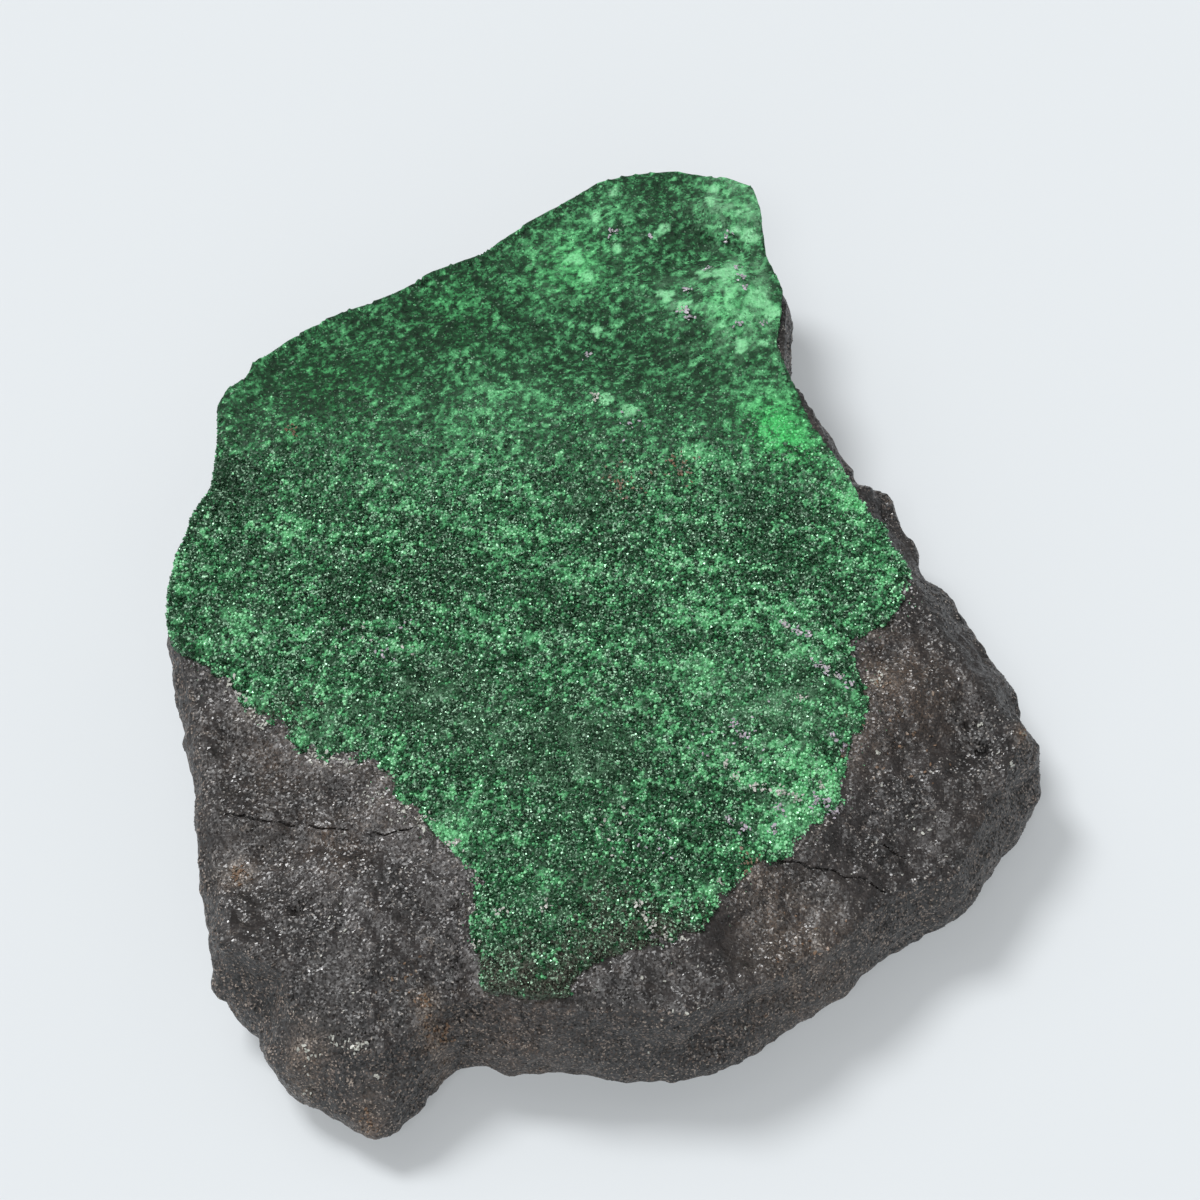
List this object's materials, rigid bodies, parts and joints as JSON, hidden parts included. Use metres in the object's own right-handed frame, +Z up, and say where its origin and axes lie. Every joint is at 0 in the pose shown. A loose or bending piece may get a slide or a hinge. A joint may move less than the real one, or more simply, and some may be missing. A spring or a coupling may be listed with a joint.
{
  "type": "uvarovite mineral specimen",
  "caption": "Loose hand specimen: a sparkling emerald-green druse of garnet crystals on a broken slab of dark chromite rock, lying flat on its underside.",
  "frame": {"origin": "under the middle of the slab, on the surface that it lies on", "axes": "+Z up, out of the crystal face; +Y along the slab's length, towards its narrow end; +X to the right of that, towards its pointed bare corner"},
  "size_m": [0.0584, 0.0726, 0.0128],
  "materials": {
    "chromite": "matte",
    "uvarovite": "satin"
  },
  "bodies": {
    "root": {"chromite_matrix": "chromite", "uvarovite_crust": "uvarovite"}
  },
  "joints": []
}
